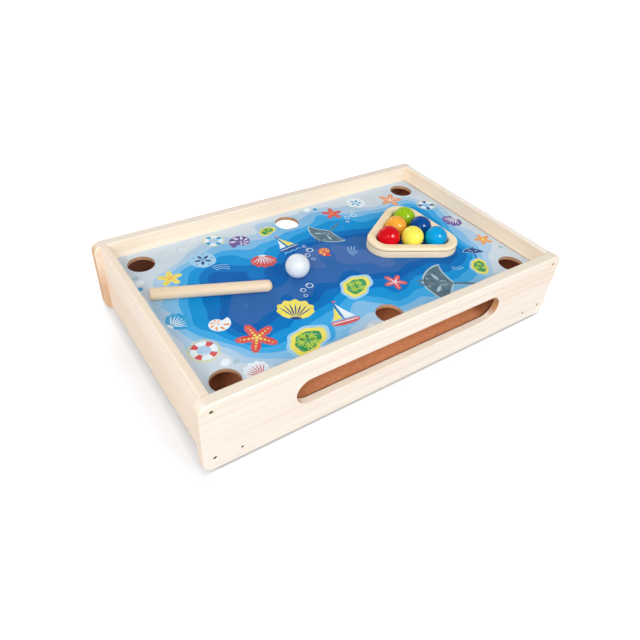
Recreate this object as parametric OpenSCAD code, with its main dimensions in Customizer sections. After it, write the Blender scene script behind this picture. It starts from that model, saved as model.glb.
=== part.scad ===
// Tabletop pool game: a shallow wooden box with a sunk, printed playing field,
// six pockets over a ball tray, a slot in each long side, seven balls,
// a triangle rack and a short cue.
// Millimetres, +Z up, +X along the long boards, origin under the middle of the box.

/* [Box] */
// Length of the two long boards
board_len = 430; // [410:1:480]
// Depth across the outside of both long boards
box_w = 256; // [236:1:300]
// Height of all four boards
board_h = 81; // [74:1:100]
// Thickness of the long boards
board_t = 11; // [9:0.5:14]
// Thickness of the two end boards
end_board_t = 8; // [7:0.5:12]
// How far the long boards run past each end board
end_inset = 7; // [4:0.5:12]
// Radius of the corners of the long boards
corner_r = 10; // [5:0.5:16]
// Radius of the eased edges of all boards
edge_r = 1.5; // [0.5:0.1:2.5]

/* [Playing field] */
// Height of the rim above the playing field
rim_h = 19; // [15:0.5:24]
// Thickness of the field panel
panel_t = 4; // [3:0.5:6]
// Thickness of the printed sheet on the panel
print_t = 0.3; // [0.2:0.1:0.5]
// How far the printed sheet stops short of the right end board
print_short = 1.2; // [0.3:0.1:2]
// Depth of the groove that holds the panel
groove_d = 3; // [2:0.5:4]
// Free play of the panel at the bottom of its groove
panel_gap = 0.25; // [0.1:0.05:0.5]
// How much wider a pocket is than a ball
pocket_clear = 3; // [2:0.25:5]
// Pocket centres from the end boards
pocket_inset_x = 24; // [20:0.5:32]
// Pocket centres from the long boards
pocket_inset_y = 22; // [19:0.5:28]

/* [Ball tray] */
// Thickness of the tray floor
tray_t = 4; // [3:0.5:6]
// How far the tray floor lies below the chamfer of the slots
tray_step = 0.3; // [0.2:0.1:1]
// Width of the battens under the tray floor
batten_w = 14; // [10:1:20]
// Underside of the battens above the table
batten_low = 6; // [3:0.5:8]
// Length of the slot in each long board
slot_len = 252; // [200:1:300]
// Radius of the eased outer edge of the slots
slot_edge_r = 0.8; // [0.4:0.1:1.5]
// Chamfer round the slots inside the box
slot_chamfer = 3.5; // [2:0.5:5]
// How much taller a slot is than a ball
slot_clear = 5; // [3:0.5:7]
// Top of the slot below the playing field
slot_drop = 2.5; // [2.5:0.5:5]

/* [Fasteners] */
// Diameter of a corner screw's head
screw_head_d = 4.8; // [4:0.1:5.5]
// Height of a screw head
screw_head_h = 1.8; // [1.5:0.1:2.5]
// How deep a screw head lies below the face of the board
screw_recess = 0.8; // [0.3:0.1:1.5]
// Diameter of a screw's shank
screw_shank_d = 3; // [2.5:0.1:3.5]
// Length of a screw under its head
screw_len = 30; // [24:1:40]
// Height of the lower screws above the table
screw_low = 14.5; // [12:0.5:20]
// Upper screws below the top of the boards
screw_drop = 9.5; // [8:0.5:14]
// Width of the cross in a screw head
cross_w = 0.8; // [0.6:0.1:1]
// Length of the cross in a screw head
cross_len = 2.8; // [2:0.1:3.4]
// Depth of the cross in a screw head
cross_depth = 1; // [0.6:0.1:1.2]
// Diameter of a nail's head
nail_head_d = 2.4; // [2:0.1:3]
// Height of a nail's head
nail_head_h = 0.8; // [0.6:0.1:1.2]
// Diameter of a nail's shank
nail_shank_d = 1.3; // [1:0.1:1.6]
// Length of a nail under its head
nail_len = 24; // [18:1:32]
// Nails from the end boards
nail_inset = 21; // [12:1:40]
// Height of the nails above the table
nail_low = 13; // [11:0.5:16]
// Play round each fastener in its hole
fastener_clear = 0.1; // [0.05:0.01:0.2]

/* [Balls] */
// Diameter of every ball
ball_d = 25; // [22:0.5:27]
// Least space between neighbouring balls in the rack
ball_gap = 0.4; // [0.3:0.1:2]
// Space under a ball or the cue at rest
rest_gap = 0.05; // [0.02:0.01:0.1]
// Cue ball along the box, from the middle
cue_ball_x = -46; // [-55:1:-20]
// Cue ball across the box, from the middle
cue_ball_y = 0; // [-3:0.5:20]

/* [Rack] */
// Height of the rack's lower layer
rack_lower_h = 8.5; // [6:0.5:12]
// Height of the rack's upper layer
rack_upper_h = 4; // [3:0.5:8]
// Width of the rack's wall
rack_wall = 10; // [7:0.5:13]
// Radius of the rack's inner corners
rack_corner_r = 12; // [8:0.5:13]
// Space between the outer balls and the rack
rack_clear = 0.8; // [0.6:0.1:1.5]
// How much closer a tight rack would hold the front row to its middle
rack_slack = 1; // [0:0.1:1.5]
// Rack's centre from the right end board
rack_end_gap = 95; // [80:1:104]
// Rack's centre across the box, from the middle
rack_y = -0.5; // [-8:0.5:8]
// Turn of the rack about the vertical
rack_turn = -28; // [-60:1:60]

/* [Cue] */
// Length of the cue
cue_len = 118; // [90:1:126]
// Diameter of the cue
cue_d = 12; // [10:0.5:14]
// Chamfer round the cue's flat end
cue_chamfer = 0.6; // [0.3:0.1:1.5]
// Cue's flat end from the left end board
cue_end_gap = 11; // [8:0.5:16]
// Cue's flat end across the box, from the middle
cue_end_y = 35.5; // [30:0.5:50]
// Turn of the cue about the vertical
cue_turn = -22; // [-26:1:-10]

/* [Hidden] */
$fn = 96;

// Overlap of every cut with the air beyond a face
cut = 1;

// Inside of the box: half its length and half its depth
inner_x = board_len / 2 - end_inset - end_board_t;
inner_y = box_w / 2 - board_t;

// Levels of the playing field
field_z = board_h - rim_h;
groove_h = panel_t + print_t;
panel_z = field_z - groove_h;

// Pockets and slots let a ball through
pocket_d = ball_d + pocket_clear;
pocket_x = inner_x - pocket_inset_x;
pocket_y = inner_y - pocket_inset_y;
slot_h = ball_d + slot_clear;
slot_z = field_z - slot_drop - slot_h / 2;

// The tray floor fills the inside of the box below the slots and rests on two battens
tray_z = slot_z - slot_h / 2 - slot_chamfer - tray_step - tray_t;

// Screws run into the middle of the end boards, nails into the ends of the battens
screw_x = inner_x + end_board_t / 2;
screw_zs = [screw_low, board_h - screw_drop];
nail_x = inner_x - nail_inset;

// Three balls lie along the rack's flat side, two of them in its corners; the middle
// pair lies against the other two sides, and the last ball against that pair
ball_pitch = ball_d + ball_gap;
ball_z = field_z + rest_gap + ball_d / 2;
front_y = -ball_pitch / sqrt(3) - rack_slack;
front_x = -front_y * sqrt(3);
middle_x = front_x - ball_pitch / 2;
middle_y = front_y + ball_pitch * sqrt(3) / 2;
last_y = middle_y + sqrt(pow(ball_pitch, 2) - pow(middle_x, 2));

// The rack's inner sides stand off the outer balls by the rack's clearance
rack_apothem = ball_d / 2 + rack_clear - front_y;
rack_side = (rack_apothem - rack_corner_r) * 2 * sqrt(3);
rack_x = inner_x - rack_end_gap;

// Colours of the finishes
pale_wood = [0.95, 0.88, 0.78];
brown_board = [0.62, 0.38, 0.22];
hardboard = [0.66, 0.36, 0.20];
sea_blue = [0.12, 0.45, 0.75];
dark_steel = [0.30, 0.28, 0.26];
rack_wood = [0.94, 0.88, 0.75];

// Rectangle with round corners, centred
module rounded_rect(w, h, r) {
    square([w - 2 * r, h], center = true);
    square([w, h - 2 * r], center = true);
    for (sx = [-1, 1], sy = [-1, 1])
        translate([sx * (w / 2 - r), sy * (h / 2 - r)])
            circle(r);
}

// Round disc with eased rims, its axis along Z, centred
module eased_disc(r, t, e) {
    rotate_extrude()
        intersection() {
            rounded_rect(2 * r, t, e);
            translate([0, -t / 2])
                square([r, t]);
        }
}

// Half section through a slot: straight wall, flared at the outer face of the board
module slot_half_section() {
    half_h = slot_h / 2;
    flare_y = board_t / 2 - slot_edge_r;
    translate([0, -board_t / 2 - cut])
        square([half_h, board_t + 2 * cut]);
    difference() {
        translate([0, flare_y])
            square([half_h + slot_edge_r, slot_edge_r + cut]);
        translate([half_h + slot_edge_r, flare_y])
            circle(slot_edge_r);
    }
}

// Triangle with round corners: side is the distance between the corner centres
function triangle_corner(i, side) =
    side / sqrt(3) * [cos(90 + 120 * i), sin(90 + 120 * i)];

module rounded_triangle(side, r) {
    polygon([
        for (i = [0:2], turn = [-60, 60])
            triangle_corner(i, side) + r * [cos(90 + 120 * i + turn), sin(90 + 120 * i + turn)]
    ]);
    for (i = [0:2])
        translate(triangle_corner(i, side))
            circle(r);
}

// Straight hole from the front face of the box inwards
module bore_from_front(d, depth) {
    translate([0, -box_w / 2 - cut, 0])
        rotate([-90, 0, 0])
            cylinder(d = d, h = depth + cut);
}

// Cuts for the corner screws, in the front of the box
module screw_holes() {
    for (sx = [-1, 1], z = screw_zs)
        translate([sx * screw_x, 0, z]) {
            bore_from_front(screw_head_d + 2 * fastener_clear, screw_recess + screw_head_h);
            bore_from_front(screw_shank_d + 2 * fastener_clear,
                screw_recess + screw_head_h + screw_len + fastener_clear);
        }
}

// Cuts for the nails of the battens, in the front of the box
module nail_holes() {
    for (sx = [-1, 1])
        translate([sx * nail_x, 0, nail_low]) {
            bore_from_front(nail_head_d + 2 * fastener_clear, nail_head_h);
            bore_from_front(nail_shank_d + 2 * fastener_clear,
                nail_head_h + nail_len + fastener_clear);
        }
}

// Half section through a slot's chamfer at the inner face of the board
module chamfer_half_section() {
    half_h = slot_h / 2;
    inner_face = -board_t / 2;
    polygon([
        [0, inner_face - cut], [half_h + slot_chamfer + cut, inner_face - cut],
        [half_h, inner_face + slot_chamfer], [0, inner_face + slot_chamfer]
    ]);
}

// Slab that fills the inside of the box and reaches into all four boards
module inner_slab(z, h, reach) {
    x = inner_x + reach;
    y = inner_y + reach;
    translate([-x, -y, z])
        cube([2 * x, 2 * y, h]);
}

// Plain long board, centred: two bars and four corner discs, all with the same eased edge
module eased_board() {
    rotate([90, 0, 90])
        linear_extrude(board_len - 2 * corner_r, center = true)
            rounded_rect(board_t, board_h, edge_r);
    linear_extrude(board_h - 2 * corner_r, center = true)
        rounded_rect(board_len, board_t, edge_r);
    for (sx = [-1, 1], sz = [-1, 1])
        translate([sx * (board_len / 2 - corner_r), 0, sz * (board_h / 2 - corner_r)])
            rotate([90, 0, 0])
                eased_disc(corner_r, board_t, edge_r);
}

// A half section carried round a slot with full round ends, centred
module round_slot() {
    straight = slot_len - slot_h;
    rotate([90, 0, 90])
        linear_extrude(straight, center = true)
            for (s = [0, 1])
                mirror([0, s])
                    rotate(90)
                        children();
    for (s = [-1, 1])
        translate([s * straight / 2, 0, 0])
            rotate([90, 0, 0])
                rotate_extrude()
                    children();
}

// Space of a slot, centred; its chamfer stops below the groove of the field panel
module slot_space() {
    round_slot()
        slot_half_section();
    intersection() {
        round_slot()
            chamfer_half_section();
        translate([-board_len / 2, -board_t, -board_h])
            cube([board_len, 2 * board_t, board_h + panel_z - slot_z - cut]);
    }
}

// Front long board with its slot, groove and holes
module long_board() {
    difference() {
        translate([0, -inner_y - board_t / 2, board_h / 2])
            eased_board();
        translate([0, -inner_y - board_t / 2, slot_z])
            slot_space();
        inner_slab(panel_z, groove_h, groove_d);
        screw_holes();
        nail_holes();
    }
}

// Right end board, between the long boards
module end_board() {
    difference() {
        translate([inner_x + end_board_t / 2, inner_y, board_h / 2])
            rotate([90, 0, 0])
                linear_extrude(2 * inner_y)
                    rounded_rect(end_board_t, board_h, edge_r);
        inner_slab(panel_z, groove_h, groove_d);
        screw_holes();
        mirror([0, 1, 0])
            screw_holes();
    }
}

// One layer of the playing field with its six pockets
module field_layer(z, h) {
    difference() {
        inner_slab(z, h, groove_d - panel_gap);
        for (x = [-pocket_x, 0, pocket_x], y = [-pocket_y, pocket_y])
            translate([x, y, z - cut])
                cylinder(d = pocket_d, h = h + 2 * cut);
    }
}

// Countersunk wood screw with a cross recess, pointing along +Y from the front face
module corner_screw() {
    translate([0, -box_w / 2 + screw_recess, 0])
        rotate([-90, 0, 0])
            difference() {
                union() {
                    cylinder(d = screw_head_d, h = screw_head_h);
                    cylinder(d = screw_shank_d, h = screw_head_h + screw_len - screw_shank_d);
                    translate([0, 0, screw_head_h + screw_len - screw_shank_d])
                        cylinder(d1 = screw_shank_d, d2 = screw_shank_d / 4, h = screw_shank_d);
                }
                for (a = [0, 90])
                    rotate([0, 0, a])
                        translate([-cross_len / 2, -cross_w / 2, -cut])
                            cube([cross_len, cross_w, cross_depth + cut]);
            }
}

// Flat-headed nail pointing along +Y from the front face
module bottom_nail() {
    translate([0, -box_w / 2, 0])
        rotate([-90, 0, 0]) {
            cylinder(d = nail_head_d, h = nail_head_h);
            cylinder(d = nail_shank_d, h = nail_head_h + nail_len - nail_shank_d);
            translate([0, 0, nail_head_h + nail_len - nail_shank_d])
                cylinder(d1 = nail_shank_d, d2 = nail_shank_d / 4, h = nail_shank_d);
        }
}

// Places a child in the rack's own frame: flat side to the front, apex to the back
module in_rack() {
    translate([rack_x, rack_y, 0])
        rotate([0, 0, rack_turn])
            children();
}

// A ball at a place in the rack's own frame
module racked_ball(x, y) {
    in_rack()
        translate([x, y, ball_z])
            sphere(d = ball_d);
}

// One layer of the triangle rack
module rack_ring(z, h) {
    in_rack()
        translate([0, 0, z])
            linear_extrude(h)
                difference() {
                    rounded_triangle(rack_side, rack_corner_r + rack_wall);
                    rounded_triangle(rack_side, rack_corner_r);
                }
}

module front_board() {
    color(pale_wood)
        long_board();
}

module back_board() {
    color(pale_wood)
        mirror([0, 1, 0])
            long_board();
}

module left_end_board() {
    color(pale_wood)
        mirror([1, 0, 0])
            end_board();
}

module right_end_board() {
    color(pale_wood)
        end_board();
}

module playfield_panel() {
    color(brown_board)
        field_layer(panel_z, panel_t);
}

module playfield_print() {
    color(sea_blue)
        difference() {
            field_layer(panel_z + panel_t, print_t);
            translate([inner_x - print_short, -box_w / 2, field_z - print_t - cut])
                cube([groove_d + print_short, box_w, print_t + 2 * cut]);
        }
}

module tray_floor() {
    color(hardboard)
        inner_slab(tray_z, tray_t, 0);
}

module right_tray_batten() {
    color(pale_wood)
        difference() {
            translate([nail_x - batten_w / 2, -inner_y, batten_low])
                cube([batten_w, 2 * inner_y, tray_z - batten_low]);
            nail_holes();
            mirror([0, 1, 0])
                nail_holes();
        }
}

module left_tray_batten() {
    mirror([1, 0, 0])
        right_tray_batten();
}

module front_corner_screws() {
    color(dark_steel)
        for (sx = [-1, 1], z = screw_zs)
            translate([sx * screw_x, 0, z])
                corner_screw();
}

module back_corner_screws() {
    mirror([0, 1, 0])
        front_corner_screws();
}

module front_bottom_nails() {
    color(dark_steel)
        for (sx = [-1, 1])
            translate([sx * nail_x, 0, nail_low])
                bottom_nail();
}

module back_bottom_nails() {
    mirror([0, 1, 0])
        front_bottom_nails();
}

module cue_ball() {
    color("white")
        translate([cue_ball_x, cue_ball_y, ball_z])
            sphere(d = ball_d);
}

module red_ball() {
    color([0.80, 0.04, 0.10])
        racked_ball(-front_x, front_y);
}

module yellow_ball() {
    color([0.95, 0.90, 0.30])
        racked_ball(0, front_y);
}

module light_blue_ball() {
    color([0.02, 0.58, 0.85])
        racked_ball(front_x, front_y);
}

module orange_ball() {
    color([0.95, 0.60, 0.12])
        racked_ball(-middle_x, middle_y);
}

module dark_blue_ball() {
    color([0.02, 0.28, 0.60])
        racked_ball(middle_x, middle_y);
}

module green_ball() {
    color([0.55, 0.76, 0.10])
        racked_ball(0, last_y);
}

module rack_lower_ring() {
    color(rack_wood)
        rack_ring(field_z, rack_lower_h);
}

module rack_upper_ring() {
    color(rack_wood)
        rack_ring(field_z + rack_lower_h, rack_upper_h);
}

// Cue lying on the field: a dowel with a flat butt and a domed tip
module cue_stick() {
    r = cue_d / 2;
    color(pale_wood)
        translate([-inner_x + cue_end_gap, cue_end_y, field_z + rest_gap + r])
            rotate([0, 0, cue_turn])
                rotate([0, 90, 0])
                    rotate_extrude() {
                        polygon([
                            [0, 0], [r - cue_chamfer, 0], [r, cue_chamfer],
                            [r, cue_len - r], [0, cue_len - r]
                        ]);
                        intersection() {
                            translate([0, cue_len - r])
                                circle(r);
                            translate([0, cue_len - r])
                                square(r);
                        }
                    }
}

front_board();
back_board();
left_end_board();
right_end_board();
playfield_panel();
playfield_print();
tray_floor();
left_tray_batten();
right_tray_batten();
front_corner_screws();
back_corner_screws();
front_bottom_nails();
back_bottom_nails();
cue_ball();
red_ball();
yellow_ball();
light_blue_ball();
orange_ball();
dark_blue_ball();
green_ball();
rack_lower_ring();
rack_upper_ring();
cue_stick();
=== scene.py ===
# %% [markdown]
# # A wooden tabletop pool game
# The object is a shallow wooden box. A printed playing field lies sunk below its rim, six pockets
# drop the balls into a tray, and a slot in each long side gives them back. Seven painted balls, a
# triangle rack and a short cue lie loose on the field. The solids come from CAD in metres, and this
# lesson dresses them: the boards keep their CAD meshes and get wood, while the balls, the rack and
# the cue are modelled again with soft edges and smooth skins.

# %% Load the solids
import math

import bmesh
import bpy
from mathutils import Matrix, Vector


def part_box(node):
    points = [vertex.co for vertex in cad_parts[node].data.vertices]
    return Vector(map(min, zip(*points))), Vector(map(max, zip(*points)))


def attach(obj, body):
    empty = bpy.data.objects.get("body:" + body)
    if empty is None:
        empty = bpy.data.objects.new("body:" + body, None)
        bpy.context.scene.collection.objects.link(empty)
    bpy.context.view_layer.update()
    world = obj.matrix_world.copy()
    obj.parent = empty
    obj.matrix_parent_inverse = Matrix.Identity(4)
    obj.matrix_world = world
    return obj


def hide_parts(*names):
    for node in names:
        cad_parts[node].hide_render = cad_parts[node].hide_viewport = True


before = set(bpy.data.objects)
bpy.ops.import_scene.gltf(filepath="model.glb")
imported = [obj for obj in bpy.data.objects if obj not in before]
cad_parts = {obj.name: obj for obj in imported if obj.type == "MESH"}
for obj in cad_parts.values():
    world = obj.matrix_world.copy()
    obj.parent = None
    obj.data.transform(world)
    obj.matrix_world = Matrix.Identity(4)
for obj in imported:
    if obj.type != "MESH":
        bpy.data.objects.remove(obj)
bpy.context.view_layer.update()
MM = 0.001

# %% [markdown]
# ## Where things are
# Most sizes that the pieces below need are read from the solids, so that they fit without guesswork.
# The inside faces of the four boards bound the playing field, and the top of the print is the level
# on which everything rests.

# %% Measure the playing field
inner_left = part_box("left_end_board")[1].x
inner_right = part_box("right_end_board")[0].x
inner_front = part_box("front_board")[1].y
inner_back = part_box("back_board")[0].y
outer_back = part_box("back_board")[1].y
stub_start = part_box("right_end_board")[1].x
field_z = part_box("playfield_print")[1].z
tray_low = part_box("tray_floor")[0].z
print("field", inner_right - inner_left, "by", inner_back - inner_front, "at", field_z)

# %% [markdown]
# ## The camera
# The picture looks down on the left front corner of the box through a fairly wide lens, with the
# camera tilted a few degrees to one side. A look-at direction plus a roll about the camera's own axis
# is easier to read than three Euler angles.

# %% Place the camera
CAMERA_PLACE = Vector((-310.2, -391.3, 405.3)) * MM
CAMERA_TARGET = Vector((-49.0, -49.4, 40.0)) * MM
CAMERA_ROLL = math.radians(5.07)
CAMERA_LENS = 31.61

camera = bpy.data.objects.new("camera", bpy.data.cameras.new("camera"))
bpy.context.collection.objects.link(camera)
look = (CAMERA_TARGET - CAMERA_PLACE).to_track_quat("-Z", "Y").to_matrix()
camera.matrix_world = Matrix.Translation(CAMERA_PLACE) @ (
    look @ Matrix.Rotation(CAMERA_ROLL, 3, "Z")
).to_4x4()
camera.data.lens = CAMERA_LENS
camera.data.sensor_width = 36.0
camera.data.clip_start = 0.01
bpy.context.scene.camera = camera
bpy.context.scene.view_settings.view_transform = "Standard"
print("camera at", tuple(CAMERA_PLACE))

# %% [markdown]
# ## Small helpers for node trees
# A procedural material is a handful of nodes wired together. These helpers add a node with its
# settings, fill or join its sockets, split a vector, and mix two colours, so that each finish below
# reads as a recipe. Colours are written as screen values from 0 to 255, and turned into linear light.


# %% Node helpers
def screen(red, green, blue):
    """A colour as it shows on screen, from 0 to 255, in linear light."""
    channels = [value / 255 for value in (red, green, blue)]
    linear = [v / 12.92 if v <= 0.04045 else ((v + 0.055) / 1.055) ** 2.4 for v in channels]
    return (*linear, 1.0)


def add(tree, kind, **settings):
    """A new node of that kind with its settings."""
    made = tree.nodes.new(kind)
    for name, value in settings.items():
        setattr(made, name, value)
    return made


def feed(tree, socket, value):
    """Gives a socket a plain value, or wires another socket into it."""
    if isinstance(value, bpy.types.NodeSocket):
        tree.links.new(value, socket)
    else:
        socket.default_value = value


def tune(node, **values):
    """Sets plain inputs of a node by name, with _ for a space."""
    for name, value in values.items():
        node.inputs[name.replace("_", " ")].default_value = value


def maths(tree, operation, first, second=0.0):
    """The result of one Math node."""
    made = add(tree, "ShaderNodeMath", operation=operation)
    feed(tree, made.inputs[0], first)
    feed(tree, made.inputs[1], second)
    return made.outputs[0]


def vector_maths(tree, operation, first, second=(0, 0, 0)):
    """The result of one Vector Math node: a vector, or the number of a length or a dot product."""
    made = add(tree, "ShaderNodeVectorMath", operation=operation)
    feed(tree, made.inputs[0], first)
    feed(tree, made.inputs[1], second)
    return made.outputs["Value" if operation in ("LENGTH", "DOT_PRODUCT") else "Vector"]


def split(tree, vector):
    """The X, Y and Z of a vector, by name."""
    made = add(tree, "ShaderNodeSeparateXYZ")
    feed(tree, made.inputs[0], vector)
    return made.outputs


def blend(tree, factor, first, second, blend_type="MIX"):
    """Two colours mixed by a factor."""
    made = add(tree, "ShaderNodeMix", data_type="RGBA", blend_type=blend_type)
    feed(tree, made.inputs["Factor"], factor)
    feed(tree, made.inputs[6], first)
    feed(tree, made.inputs[7], second)
    return made.outputs[2]


def noise(tree, place, scale, detail=2.0, roughness=0.5, distortion=0.0):
    """A Noise texture's value, about 0.5 on average."""
    made = add(tree, "ShaderNodeTexNoise")
    feed(tree, made.inputs["Vector"], place)
    tune(made, Scale=scale, Detail=detail, Roughness=roughness, Distortion=distortion)
    return made.outputs[0]


def remap(tree, value, low, high, to_low=0.0, to_high=1.0):
    """A value stretched from one range to another, clamped."""
    made = add(tree, "ShaderNodeMapRange")
    for socket, number in zip(list(made.inputs)[1:5], (low, high, to_low, to_high)):
        socket.default_value = number
    feed(tree, made.inputs[0], value)
    return made.outputs[0]


def coat(tree, shader, colour, grit, rough, specular):
    """Sets a shader's colour, its roughness between two values by a noise, and its specular level."""
    feed(tree, shader.inputs["Base Color"], colour)
    feed(tree, shader.inputs["Roughness"], remap(tree, grit, 0.3, 0.7, *rough))
    tune(shader, Specular_IOR_Level=specular)


def new_finish(name):
    """An empty material: itself, its tree, its main shader and its Object coordinates."""
    material = bpy.data.materials.new(name)
    material.use_nodes = True
    tree = material.node_tree
    place = add(tree, "ShaderNodeTexCoord").outputs["Object"]
    return material, tree, tree.nodes["Principled BSDF"], place


print("helpers ready")

# %% [markdown]
# ## The light
# A product picture on white has very soft light from everywhere. The world lights the object gently,
# and a ray that comes straight from the camera, a reflection or a clear pane sees plain white. The
# strongest lamp is a soft box above the near left corner: it lights the far walls and leaves a strip of
# shade along the left one. A key, low on the front right, reaches through the slot into the tray. Large
# cards in front and on the left fill what the two leave dark, and a low card behind lights the back
# board. One more box gives no light to matt surfaces: it only shows as the highlight on paint.

# %% World
WORLD_LIGHT = 0.43
WHITE = (1.0, 1.0, 1.0, 1.0)


def seen_directly(tree):
    """1 for a ray from the camera, a reflection or a clear pane, and 0 for light on a matt surface."""
    rays = add(tree, "ShaderNodeLightPath")
    seen = maths(tree, "MAXIMUM", rays.outputs["Is Camera Ray"], rays.outputs["Is Glossy Ray"])
    return maths(tree, "MAXIMUM", seen, rays.outputs["Is Transmission Ray"])


world = bpy.data.worlds.new("studio")
bpy.context.scene.world = world
world.use_nodes = True
tree = world.node_tree
tree.nodes.clear()
soft_sky = add(tree, "ShaderNodeBackground")
tune(soft_sky, Color=WHITE, Strength=WORLD_LIGHT)
white_sky = add(tree, "ShaderNodeBackground")
tune(white_sky, Color=WHITE)
sky = add(tree, "ShaderNodeMixShader")
tree.links.new(seen_directly(tree), sky.inputs[0])
tree.links.new(soft_sky.outputs[0], sky.inputs[1])
tree.links.new(white_sky.outputs[0], sky.inputs[2])
tree.links.new(sky.outputs[0], add(tree, "ShaderNodeOutputWorld").inputs[0])
print("world light", WORLD_LIGHT)

# %% Soft boxes
LAMP_AIM = Vector((0.0, 0.0, 60 * MM))


def soft_box(name, towards, distance, size, power, only_glints=False):
    """A square lamp in a direction from the middle of the box, aimed back at it."""
    lamp = bpy.data.lights.new(name, "AREA")
    lamp.shape = "SQUARE"
    lamp.size = size
    lamp.energy = power
    lamp_object = bpy.data.objects.new(name, lamp)
    bpy.context.collection.objects.link(lamp_object)
    direction = Vector(towards).normalized()
    lamp_object.location = LAMP_AIM + direction * distance
    lamp_object.rotation_euler = (-direction).to_track_quat("-Z", "Y").to_euler()
    lamp_object.visible_diffuse = not only_glints


soft_box("key_soft_box", (0.4, -0.82, 0.41), distance=1.8, size=0.5, power=6.5)
soft_box("glint_box", (0.12, -0.77, 0.62), distance=1.8, size=0.55, power=88.0, only_glints=True)
soft_box("front_card", (0.12, -0.76, 0.64), distance=2.0, size=1.2, power=8.2)
soft_box("corner_box", (-0.62, -0.52, 0.59), distance=1.8, size=0.6, power=12.8)
soft_box("left_card", (-0.95, -0.1, 0.3), distance=1.8, size=0.8, power=5.0)
soft_box("back_card", (0.1, 0.93, 0.35), distance=1.6, size=0.6, power=5.8)
print("lamps", [lamp.name for lamp in bpy.data.lights])

# %% [markdown]
# ## The floor
# The sheet of paper under the object should look white and still hold its soft shadow. It is a grey
# paper, so that it throws little light back up, with a glow that only the camera, mirrors and clear
# panes see. The glow is kept off the paper at the foot of the box, which paints a thin dark line of
# shade under the long boards and a soft band of shade beside the ends. It is weaker right beside the
# box: painted shade that deepens the shadow there. Away from the box it grows, soonest at the back and
# the right, until the paper is plain white.

# %% Floor sheet
FLOOR_HALF = 4.0
FLOOR_GAP = 0.3 * MM

floor_mesh = bpy.data.meshes.new("floor")
sheet = bmesh.new()
bmesh.ops.create_grid(sheet, x_segments=1, y_segments=1, size=FLOOR_HALF)
bmesh.ops.translate(sheet, verts=sheet.verts, vec=(0, 0, -FLOOR_GAP))
sheet.to_mesh(floor_mesh)
sheet.free()
floor = bpy.data.objects.new("floor", floor_mesh)
bpy.context.collection.objects.link(floor)
print("floor half size", FLOOR_HALF)

# %% Floor finish
FLOOR_GLOW = 0.56
GLOW_GROWS = (0.1, 0.6)
# Painted shade: the glow is weaker right beside the box, and kept off a line at its foot.
NEAR_SHADE = 0.16
SHADE_FADES = (4 * MM, 40 * MM)
FOOT_OF_SIDE = (1.0 * MM, 1.5 * MM)
FOOT_OF_END = (-8 * MM, 10 * MM)
BACK_GROWTH = 2.2
RIGHT_GROWTH = 2.8
RIGHT_START = 0.12

floor_finish, tree, paper, place = new_finish("white_paper")
tune(paper, Roughness=0.9, Specular_IOR_Level=0.0)
tint = noise(tree, place, 3.0)
feed(tree, paper.inputs["Base Color"], blend(tree, tint, screen(186, 187, 189), screen(190, 191, 193)))

foot_corner = (stub_start, outer_back, 0)
off = split(tree, vector_maths(tree, "SUBTRACT", vector_maths(tree, "ABSOLUTE", place), foot_corner))
away = maths(tree, "MAXIMUM", off["X"], off["Y"])
# Painted shade at the foot: no glow there, so the grey paper shows dark.
foot = maths(tree, "MAXIMUM", remap(tree, off["Y"], *FOOT_OF_SIDE), remap(tree, off["X"], *FOOT_OF_END))
at = split(tree, place)
behind = maths(tree, "MULTIPLY", at["Y"], BACK_GROWTH)
right = maths(tree, "MULTIPLY", maths(tree, "SUBTRACT", at["X"], RIGHT_START), RIGHT_GROWTH)
farther = maths(tree, "MAXIMUM", away, maths(tree, "MAXIMUM", behind, right))
open_glow = remap(tree, farther, *GLOW_GROWS, FLOOR_GLOW, 1.0)
# Painted shade: less glow right beside the box.
near_shade = remap(tree, away, *SHADE_FADES, NEAR_SHADE, 0.0)
glow_here = maths(tree, "MULTIPLY", foot, maths(tree, "SUBTRACT", open_glow, near_shade))

glow = add(tree, "ShaderNodeEmission")
feed(tree, glow.inputs["Strength"], maths(tree, "MULTIPLY", seen_directly(tree), glow_here))
both = add(tree, "ShaderNodeAddShader")
tree.links.new(paper.outputs[0], both.inputs[0])
tree.links.new(glow.outputs[0], both.inputs[1])
tree.links.new(both.outputs[0], tree.nodes["Material Output"].inputs[0])
floor.data.materials.append(floor_finish)
print("floor glow", FLOOR_GLOW, "less", NEAR_SHADE, "beside the box")

# %% [markdown]
# ## Pale wood
# The boards, the cue and the rack are plain light wood. Real wood is a solid: growth rings run round
# the heart of the tree, so a cut along the grain shows long streaks and a cut across it shows arcs.
# A Wave texture of rings round the local X axis gives both at once, and noises that are drawn out
# along the grain add broad pale and warm streaks, fine fibres and short dark pores. A Mapping node of
# type TEXTURE turns the pattern so that the grain lies along local X of each board. Every board has
# its own heart and tones, as boards from one pile do.


# %% Wood figure
RING_SHARE = 0.1
BROAD_SHARE = 0.72
STREAK_SHARE = 0.18


def along_grain(tree, place, turn, heart, stretch):
    """Coordinates whose X runs with the grain, drawn out by stretch."""
    made = add(tree, "ShaderNodeMapping", vector_type="TEXTURE")
    feed(tree, made.inputs["Vector"], place)
    tune(made, Location=heart, Rotation=(0, 0, turn), Scale=(stretch, 1, 1))
    return made.outputs[0]


def ramp(tree, factor, stops, interpolation="LINEAR"):
    """A colour ramp through (position, colour) stops."""
    made = add(tree, "ShaderNodeValToRGB")
    made.color_ramp.interpolation = interpolation
    elements = made.color_ramp.elements
    while len(elements) < len(stops):
        elements.new(1.0)
    for element, (position, colour) in zip(elements, stops):
        element.position = position
        element.color = colour
    feed(tree, made.inputs[0], factor)
    return made.outputs[0]


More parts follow.
